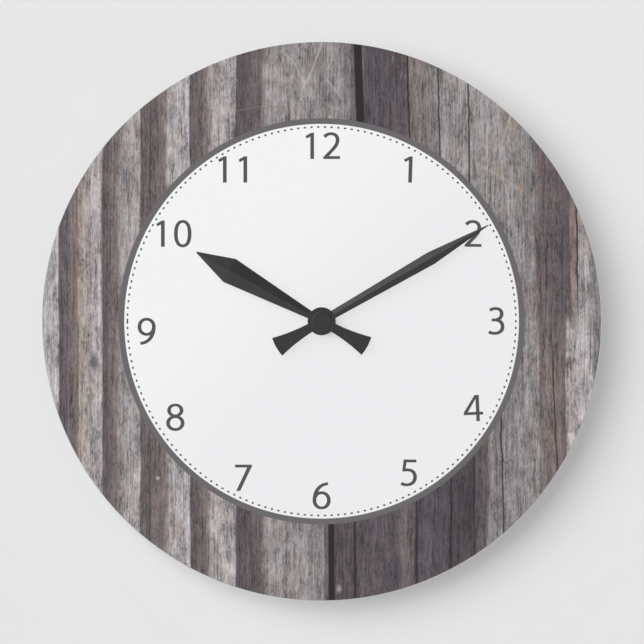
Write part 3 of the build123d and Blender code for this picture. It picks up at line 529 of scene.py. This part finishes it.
def bowl(cx, cy, rx, ry, power, level=LEVEL):
    """A closed round form, as a ring of patches; rx and ry reach its outer edge."""

    def edge(ax, ay, k):
        turn = 2 * math.pi * k / BOWL_STEPS
        c, s = (math.copysign(abs(v) ** (2 / power), v) for v in (math.cos(turn), math.sin(turn)))
        return Vector((cx + ax * c, cy + ay * s))

    in_x, in_y = rx - UPRIGHT, ry - level
    return [
        [edge(rx, ry, k), edge(rx, ry, k + 1), edge(in_x, in_y, k + 1), edge(in_x, in_y, k)]
        for k in range(BOWL_STEPS)
    ]


# Each digit in mm from the lower left corner of its box; capitals stand 12.8 high.
DIGITS = {
    "0": (8.5, bowl(4.25, 6.4, 4.25, 6.65, power=2.3)),
    "1": (
        4.2,
        [[(2.4, 0), (4.2, 0), (4.2, 12.8), (2.8, 12.8), (2.4, 12.57)]]
        + [[(2.4, 10.9), (2.4, 12.57), (0, 11.2), (0.62, 9.95)]],
    ),
    "2": (
        8.2,
        stroke([(0.62, 10.75), (1.5, 11.9), (2.6, 12.32), (3.75, 12.32), (5.9, 12.32), (7.0, 10.95),
                (7.0, 9.3), (7.0, 6.6), (4.6, 4.7), (0.95, 0.75)])
        + [[(0, 0), (8.2, 0), (8.2, 1.4), (0.6, 1.4), (0, 0.9)]],
    ),
    "3": (
        7.85,
        stroke([(0.75, 11.6), (1.6, 12.25), (2.6, 12.5), (3.6, 12.5), (5.4, 12.5), (6.5, 11.5), (6.5, 9.9),
                (6.5, 8.0), (5.0, 7.0), (3.2, 6.95)])
        + stroke([(3.2, 6.95), (5.6, 6.9), (6.95, 5.6), (6.95, 3.65), (6.95, 1.5), (5.2, 0.4), (3.1, 0.4),
                  (2.0, 0.4), (1.0, 0.65), (0.25, 1.15)])
        + [[(1.65, 6.25), (3.3, 6.25), (3.3, 7.65), (1.65, 7.65)]],
    ),
    "4": (
        9.4,
        [
            [(6.0, 0), (7.7, 0), (7.7, 12.8), (6.0, 12.8)],
            [(0, 3.15), (9.4, 3.15), (9.4, 4.55), (0.1, 4.55), (0, 4.4)],
            [(0, 4.4), (1.9, 4.4), (7.2, 12.8), (5.6, 12.8)],
        ],
    ),
    "5": (
        7.95,
        [[(1.35, 12.8), (1.28, 11.4), (7.6, 11.4), (7.6, 12.8)]]
        + [[(0.75, 6.95), (2.2, 6.95), (3.0, 12.6), (1.4, 12.8)]]
        + [[(0.75, 6.95), (2.4, 6.95), (2.4, 8.35), (0.95, 8.35)]]
        + stroke([(1.6, 7.6), (2.2, 7.7), (2.7, 7.75), (3.3, 7.75), (5.7, 7.75), (7.05, 6.4), (7.05, 4.3),
                  (7.05, 1.9), (5.3, 0.45), (3.1, 0.45), (2.0, 0.45), (1.1, 0.65), (0.3, 1.2)]),
    ),
    "6": (
        8.8,
        bowl(4.4, 4.3, 4.4, 4.4, power=2.1)
        + stroke([(0.9, 4.3), (0.9, 8.9), (3.4, 12.1), (7.5, 12.45)]),
    ),
    "7": (
        8.2,
        [[(0, 11.4), (8.2, 11.4), (8.2, 12.8), (0, 12.8)]]
        + [[(0.6, 0), (2.5, 0), (8.2, 11.95), (8.2, 12.8), (6.55, 12.8)]],
    ),
    "8": (
        8.9,
        bowl(4.45, 3.75, 4.45, 3.85, power=2.05) + bowl(4.42, 9.95, 3.95, 3.3, level=1.3, power=2.05),
    ),
    "9": (
        8.8,
        bowl(4.4, 8.7, 4.4, 4.4, power=2.1)
        + stroke([(7.9, 8.7), (7.9, 4.1), (5.4, 0.9), (1.3, 0.55)]),
    ),
}
# Where each numeral stands on the dial: its digits with their centres (x, z) in mm, and its lean
# clockwise in degrees. They aren't set out quite evenly on the real print.
NUMERALS = {
    "12": ([("1", -5.8, 85.5), ("2", 4.9, 85.5)], 0.0),
    "1": ([("1", 42.1, 74.0)], 2.0),
    "2": ([("2", 73.9, 42.7)], 1.0),
    "3": ([("3", 85.2, 0.1)], 0.0),
    "4": ([("4", 73.9, -42.4)], -2.5),
    "5": ([("5", 42.5, -73.8)], 0.5),
    "6": ([("6", 0.0, -85.2)], 0.0),
    "7": ([("7", -38.1, -76.3)], 0.0),
    "8": ([("8", -71.3, -47.0)], 0.0),
    "9": ([("9", -85.3, -5.0)], 0.0),
    "10": ([("1", -78.6, 42.7), ("0", -67.7, 42.7)], 0.0),
    "11": ([("1", -48.4, 74.0), ("1", -38.4, 74.0)], 0.0),
}
DIGIT_MIDDLE = 6.4


def joined(patches):
    """The patches' outline as corners and faces that share every edge and overlap nowhere."""
    points, faces = [], []
    for patch in patches:
        patch = [Vector(p) for p in patch]
        turned = sum(a.x * b.y - b.x * a.y for a, b in zip(patch, patch[1:] + patch[:1]))
        faces.append(list(range(len(points), len(points) + len(patch))))
        points += patch if turned > 0 else patch[::-1]
    corners, _, triangles, _, _, sources = geometry.delaunay_2d_cdt(points, [], faces, 0, 1e-4)
    kept = [list(t) for t, s in zip(triangles, sources) if s]
    return [tuple(c) for c in corners], kept


def numeral(name, digits, lean, material):
    patches = []
    middle = sum((Vector((x, z)) for _, x, z in digits), Vector((0, 0))) / len(digits)
    turn = Matrix.Rotation(-math.radians(lean), 2)
    for digit, x, z in digits:
        width, drawn = DIGITS[digit]
        for patch in drawn:
            moved = [Vector(p) - Vector((width / 2, DIGIT_MIDDLE)) + Vector((x, z)) for p in patch]
            patches.append([turn @ (p - middle) + middle for p in moved])
    corners, faces = joined(patches)
    prism("numeral_" + name, corners, faces, FIGURE_LAYER, material)


def minute_dashes(material):
    """The dashed minute circle: one closed tile for each dash, and a long one at its seam."""
    radius, across, count, dash, seam = 94.7, 0.8, 182, 1.12, 2.4
    corners, faces = [], []
    for k in range(count):
        middle = math.radians(270.0) + 2 * math.pi * k / count
        half = (seam if k == 0 else dash) / 2 / radius
        base = len(corners)
        for turn in (middle - half, middle, middle + half):
            for r in (radius - across / 2, radius + across / 2):
                corners.append((r * math.sin(turn), r * math.cos(turn)))
        faces += [[base, base + 1, base + 3, base + 2], [base + 2, base + 3, base + 5, base + 4]]
    prism("minute_dashes", corners, faces, FIGURE_LAYER, material)


# the dial's white ink carries a painted lamp falloff, brighter at the upper left
dial_white = dial_ink_with_painted_light()
dial_grey = ink("dial_grey_ink", tone(103, 101, 102), 0.02, 0.5)
numeral_ink = ink("numeral_ink", grey(80), 0.02, 0.5)
annulus("dial_disc", DIAL_HOLE, DIAL_EDGE, dial_white)
annulus("dial_ring", DIAL_EDGE, RING_EDGE, dial_grey)
minute_dashes(numeral_ink)
for label, (digits, lean) in NUMERALS.items():
    numeral(label, digits, lean, numeral_ink)


# ==== plastics, paint and metals ===============================================================
CUTS_PER_MM = 9.0  # on turned metal
WIRE_PITCH = 0.16  # mm
EDGE_HIGHLIGHT_BAND = (0.6, 0.1)  # where the painted highlight on the acrylic's polished edge starts and is full, mm inside its radius
PANEL_RADIUS_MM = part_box("panel")[1].x / MM
BATTERY_ENDS = (-25.0, 25.0)  # X, mm
BATTERY_LINE = (0.625, 0.645)  # the pale line between the sleeve's two colours, as a share of its length
LINE_BLUR = 0.005


def finish(name, dark, light, rough, grain, depth, metal=0.0, blotch=0.05, stretch=(1, 1, 1)):
    """A surface that varies between two tones; grain is in cycles per mm, blotch likewise."""
    g = Graph(name, Metallic=metal)
    broad = g.noise((blotch,) * 3, detail=3.0, seed=2.0)
    fine = g.noise(tuple(grain * s for s in stretch), detail=3.0, rough=0.6, seed=5.0)
    share = g.plus(g.times(broad, 0.6), g.times(fine, 0.4))
    g.set(Base_Color=g.mix(g.fit(share, 0.35, 0.65), dark, light))
    g.set(Roughness=g.fit(fine, 0.3, 0.7, rough[0], rough[1]))
    g.set(Normal=g.bump(fine, depth))
    return g.material


def turned_metal(name, dark, light, rough):
    """Metal with the fine rings that a lathe leaves round the hands' axis."""
    g = Graph(name, Metallic=1.0)
    x, y, z = g.axes()
    radius = g.length(x, z)
    rings = g.node("ShaderNodeCombineXYZ", {0: g.times(radius, CUTS_PER_MM), 1: g.times(y, CUTS_PER_MM)})
    cut = g.noise_at(rings.outputs[0], detail=2.0, rough=0.6, seed=1.0)
    tarnish = g.noise((0.4, 0.4, 0.4), detail=3.0, seed=4.0)
    g.set(Base_Color=g.mix(g.fit(tarnish, 0.35, 0.7), light, dark))
    g.set(Roughness=g.fit(g.plus(cut, tarnish), 0.7, 1.3, rough[0], rough[1]))
    g.set(Normal=g.bump(cut, 0.006))
    return g.material


def wound_wire():
    """Enamelled copper wound closely round the coil; the darker tone in the grooves between its windings is
    painted shade.
    """
    g = Graph("enamelled_winding", Metallic=1.0, Coat_Weight=0.6, Coat_Roughness=0.15)
    x, _, _ = g.axes()
    groove_relief_and_shade = g.math("ABSOLUTE", g.math("SINE", g.times(x, math.pi / WIRE_PITCH)))
    stain = g.noise((0.5, 0.5, 0.5), detail=2.0)
    lit = g.mix(g.fit(stain, 0.35, 0.65), tone(168, 88, 48), tone(196, 112, 66))
    # painted shade: the dark tone lies in the grooves between the windings
    g.set(Base_Color=g.mix(groove_relief_and_shade, tone(96, 44, 24), lit))
    g.set(Roughness=g.fit(stain, 0.3, 0.7, 0.28, 0.4))
    g.set(Normal=g.bump(groove_relief_and_shade, 0.05))
    return g.material


def board_mask():
    """Green solder mask over etched tracks."""
    g = Graph("solder_mask", Coat_Weight=0.3, Coat_Roughness=0.2)
    x, _, z = g.axes()
    grid = g.node(
        "ShaderNodeTexBrick",
        {"Vector": g.coords((0.55, 0.0, 0.9)), "Scale": 1.0, "Mortar Size": 0.09, "Mortar Smooth": 0.2},
        offset=0.35,
    ).outputs["Fac"]
    weave = g.noise((3.0, 3.0, 3.0), detail=2.0)
    g.set(Base_Color=g.mix(grid, g.mix(weave, tone(30, 92, 58), tone(36, 104, 66)), tone(70, 140, 84)))
    g.set(Roughness=g.fit(weave, 0.3, 0.7, 0.3, 0.42))
    g.set(Normal=g.bump(grid, 0.03))
    return g.material


def acrylic():
    """Clear cast acrylic with the film's grey opaque backing behind it, and a polished edge painted pale as
    a highlight of the light caught in it.
    """
    g = Graph("cast_acrylic", Specular_IOR_Level=0.5, Coat_Weight=0.7, Coat_Roughness=0.05, Coat_IOR=1.49)
    x, _, z = g.axes()
    radius = g.length(x, z)
    # painted highlight: the pale tone at the polished edge stands in for light caught in the clear acrylic
    edge_highlight_share = g.fit(radius, *(PANEL_RADIUS_MM - inside for inside in EDGE_HIGHLIGHT_BAND))
    haze = g.noise((0.03, 0.03, 0.03), detail=2.0)
    face = g.mix(g.fit(haze, 0.3, 0.7), tone(110, 112, 111), tone(118, 119, 119))
    polish = g.noise((0.5, 3.0, 0.5), detail=3.0, seed=6.0)
    # the painted edge highlight's tones
    edge = g.mix(g.fit(polish, 0.3, 0.7), tone(214, 219, 217), tone(228, 232, 230))
    g.set(Base_Color=g.mix(edge_highlight_share, face, edge))
    g.set(Roughness=g.fit(polish, 0.3, 0.7, 0.10, 0.16))
    g.set(Normal=g.bump(polish, 0.002))
    return g.material


def battery_wrap():
    """Shrink sleeve of a plain AA cell: a dark body and a coppery band at its positive end."""
    g = Graph("battery_wrap", Coat_Weight=0.8, Coat_Roughness=0.12)
    x, _, _ = g.axes()
    body, band, line = tone(38, 42, 48), tone(188, 120, 62), tone(220, 222, 224)
    start, end = BATTERY_LINE
    stops = [(0.0, body), (start - LINE_BLUR, body), (start, line)]
    stops += [(end, line), (end + LINE_BLUR, band), (1.0, band)]
    crinkle = g.noise((0.15, 1.2, 1.2), detail=3.0, seed=3.0)
    scuff = g.noise((0.6, 0.6, 0.6), detail=4.0, rough=0.7, seed=8.0)
    sleeve = g.ramp(g.fit(x, *BATTERY_ENDS), stops)
    g.set(Base_Color=g.mix(g.fit(scuff, 0.62, 0.75, 0.0, 0.25), sleeve, grey(150)))
    g.set(Roughness=g.fit(scuff, 0.3, 0.7, 0.3, 0.45))
    g.set(Normal=g.bump(crinkle, 0.04))
    return g.material


def hand_paint():
    """Satin dark grey paint, a touch worn to a lighter grey in its fine texture."""
    g = Graph("satin_hand_paint", Specular_IOR_Level=0.5)
    broad = g.noise((0.06, 0.06, 0.06), detail=2.0)
    fine = g.noise((3.0, 3.0, 3.0), detail=3.0, rough=0.65, seed=2.0)
    colour = g.mix(g.fit(broad, 0.3, 0.7), grey(40), grey(44))
    g.set(Base_Color=g.mix(g.fit(fine, 0.60, 0.75, 0.0, 0.25), colour, grey(60)))
    g.set(Roughness=g.fit(fine, 0.3, 0.7, 0.32, 0.40))
    g.set(Normal=g.bump(fine, 0.006))
    return g.material


black_plastic = finish("moulded_black", grey(30), grey(38), (0.48, 0.62), 2.6, 0.025, blotch=0.08)
white_plastic = finish(
    "white_acetal", tone(222, 220, 212), tone(234, 232, 226), (0.32, 0.42), 1.2, 0.008
)
rubber = finish("black_rubber", grey(22), grey(30), (0.7, 0.85), 3.0, 0.02)
steel = finish(
    "ground_steel", grey(168), grey(196), (0.22, 0.34), 2.0, 0.004, metal=1.0, stretch=(3, 0.3, 3)
)
soft_iron = finish(
    "stamped_iron", grey(120), grey(150), (0.35, 0.5), 2.2, 0.006, metal=1.0, stretch=(0.4, 2, 1)
)
magnet = finish("sintered_magnet", grey(64), grey(82), (0.5, 0.62), 4.0, 0.01, metal=0.6)
nickel = finish(
    "nickel_plate", tone(196, 192, 184), tone(214, 211, 204), (0.16, 0.28), 1.0, 0.004, metal=1.0
)
copper_wire = finish(
    "enamelled_wire", tone(160, 84, 46), tone(192, 108, 62), (0.25, 0.35), 3.0, 0.004, metal=1.0
)
resin = finish("cured_resin", grey(16), grey(22), (0.12, 0.22), 0.8, 0.02, blotch=0.3)
brass = turned_metal("turned_brass", tone(176, 138, 74), tone(214, 180, 108), (0.22, 0.36))

LOOKS = {
    "panel": acrylic(),
    "printed_face": wood_print(),
    "coil_winding": wound_wire(),
    "circuit_board": board_mask(),
    "battery_sleeve": battery_wrap(),
}
GROUPS = (
    (rubber, "rubber_gasket"),
    (brass, "threaded_bushing washer hex_nut minute_pipe minute_collet hour_collet"),
    (black_plastic, "movement_case rear_cover hanger_tab"),
    (white_plastic, "gear_plate coil_bobbin hour_wheel motion_wheel setting_knob"),
    (white_plastic, "centre_wheel third_wheel fourth_wheel fifth_wheel rotor_pinion"),
    (steel, "seconds_arbor"),
    (soft_iron, "stator coil_core"),
    (magnet, "rotor_magnet"),
    (copper_wire, "coil_leads"),
    (resin, "chip_seal"),
    (nickel, "quartz_crystal positive_contact negative_contact battery_spring battery_can"),
    (hand_paint(), "hour_hand minute_hand centre_cap"),
)
for material, names in GROUPS:
    LOOKS.update({name: material for name in names.split()})
for name, node in nodes.items():
    node.data.materials.clear()
    node.data.materials.append(LOOKS[name])


# ==== wall, floor, lights and camera ===========================================================
def plane(name, corners, material):
    mesh = bmesh.new()
    mesh.faces.new([mesh.verts.new(c) for c in corners])
    made = placed(name, mesh, material)
    return made


def painted_wall():
    """Pale wall that only has a front: from behind it is open, so the clock's back can be seen and lit."""
    g = Graph("wall_paint", Specular_IOR_Level=0.1, Roughness=0.8)
    stipple = g.noise((0.05, 0.05, 0.05), detail=3.0)
    g.set(Base_Color=g.mix(stipple, grey(230), grey(232)))
    g.set(Normal=g.bump(stipple, 0.05))
    behind = g.node("ShaderNodeNewGeometry").outputs["Backfacing"]
    light = g.node("ShaderNodeLightPath").outputs
    first = g.math("LESS_THAN", light["Diffuse Depth"], 0.5)
    passing = g.math("MAXIMUM", behind, g.times(light["Is Shadow Ray"], first))
    clear = g.node("ShaderNodeBsdfTransparent")
    both = g.node("ShaderNodeMixShader", {0: passing, 1: g.shader.outputs[0], 2: clear.outputs[0]})
    g.tree.links.new(both.outputs[0], g.output.inputs["Surface"])
    return g.material


def sun(name, toward, strength, spread_deg, glossy=True):
    """Even light that travels along toward; spread_deg is how wide its source looks."""
    lamp = bpy.data.lights.new(name, "SUN")
    lamp.energy, lamp.angle = strength, math.radians(spread_deg)
    made = bpy.data.objects.new(name, lamp)
    made.rotation_mode = "QUATERNION"
    made.rotation_quaternion = Vector(toward).to_track_quat("-Z", "Y")
    made.visible_glossy = glossy
    bpy.context.scene.collection.objects.link(made)
    return made


def light_path(tilt_deg, clock_deg, side=-1):
    """Direction in which light travels that comes tilted off the dial's axis, from a clock heading."""
    tilt, turn = math.radians(tilt_deg), math.radians(clock_deg)
    off_axis = math.sin(tilt)
    return -Vector((off_axis * math.sin(turn), side * math.cos(tilt), off_axis * math.cos(turn)))


REACH, TOP, FLOOR, WALL_Y = 6.0, 3.0, -0.9, 0.0004
plane(
    "wall",
    [(-REACH, WALL_Y, FLOOR), (REACH, WALL_Y, FLOOR), (REACH, WALL_Y, TOP), (-REACH, WALL_Y, TOP)],
    painted_wall(),
)
floor = plane(
    "floor",
    [(-REACH, -REACH, FLOOR), (REACH, -REACH, FLOOR), (REACH, REACH, FLOOR), (-REACH, REACH, FLOOR)],
    finish("floor_paint", grey(222), grey(230), (0.7, 0.85), grain=0.01, depth=0.05, blotch=0.002),
)
floor.visible_diffuse = False  # no light is thrown back up into the shadow on the wall

# The key throws the panel's shadow on the wall; the hands stand clear of it and only shade the dial
# from the weaker haze, so their shadows stay faint.
KEY_PATH = light_path(38.2, 296.7)
key = sun("key", KEY_PATH, 1.50, 48.8)
sun("haze", KEY_PATH, 0.22, 60.0)
sun("sheen", light_path(22.0, 335.0), 0.10, 8.0)
clear_of_key = bpy.data.collections.new("clear_of_key")
for name in ("hour_hand", "minute_hand", "hour_collet", "minute_collet", "centre_cap"):
    clear_of_key.objects.link(nodes[name])
for member in clear_of_key.collection_objects:
    member.light_linking.link_state = "EXCLUDE"
key.light_linking.blocker_collection = clear_of_key
sun("front_fill", light_path(0.0, 0.0), 1.32, 5.0, glossy=False)
sun("rear_key", light_path(45.0, 310.0, side=1), 1.5, 30.0)
sun("overhead", (0.0, -0.4, -1.0), 1.3, 20.0, glossy=False)
sun("rear_fill", light_path(32.0, 72.0, side=1), 1.0, 40.0)

AMBIENT, SEEN_SKY = 0.12, 0.80  # the world's strength as a light, and where the camera sees it
world = bpy.data.worlds.new("studio")
bpy.context.scene.world = world
world.use_nodes = True
backdrop = world.node_tree.nodes["Background"]
path = world.node_tree.nodes.new("ShaderNodeLightPath")
level = world.node_tree.nodes.new("ShaderNodeMapRange")
level.inputs["To Min"].default_value, level.inputs["To Max"].default_value = AMBIENT, SEEN_SKY
world.node_tree.links.new(path.outputs["Is Camera Ray"], level.inputs["Value"])
world.node_tree.links.new(level.outputs[0], backdrop.inputs["Strength"])
backdrop.inputs["Color"].default_value = (1.0, 1.0, 1.0, 1.0)

LENS, SENSOR = 200.0, 36.0  # mm
HALF_VIEW = 0.15698  # half of the width that is seen at the dial
EYE_X, EYE_Z = 0.00019, -0.00037
camera = bpy.data.cameras.new("camera")
camera.lens, camera.sensor_width = LENS, SENSOR
eye = bpy.data.objects.new("camera", camera)
eye.location = (EYE_X, FILM_FRONT - HALF_VIEW * LENS / (SENSOR / 2), EYE_Z)
eye.rotation_mode = "QUATERNION"
eye.rotation_quaternion = Vector((0, 1, 0)).to_track_quat("-Z", "Y")
bpy.context.scene.collection.objects.link(eye)
bpy.context.scene.camera = eye
bpy.context.scene.view_settings.view_transform = "Standard"
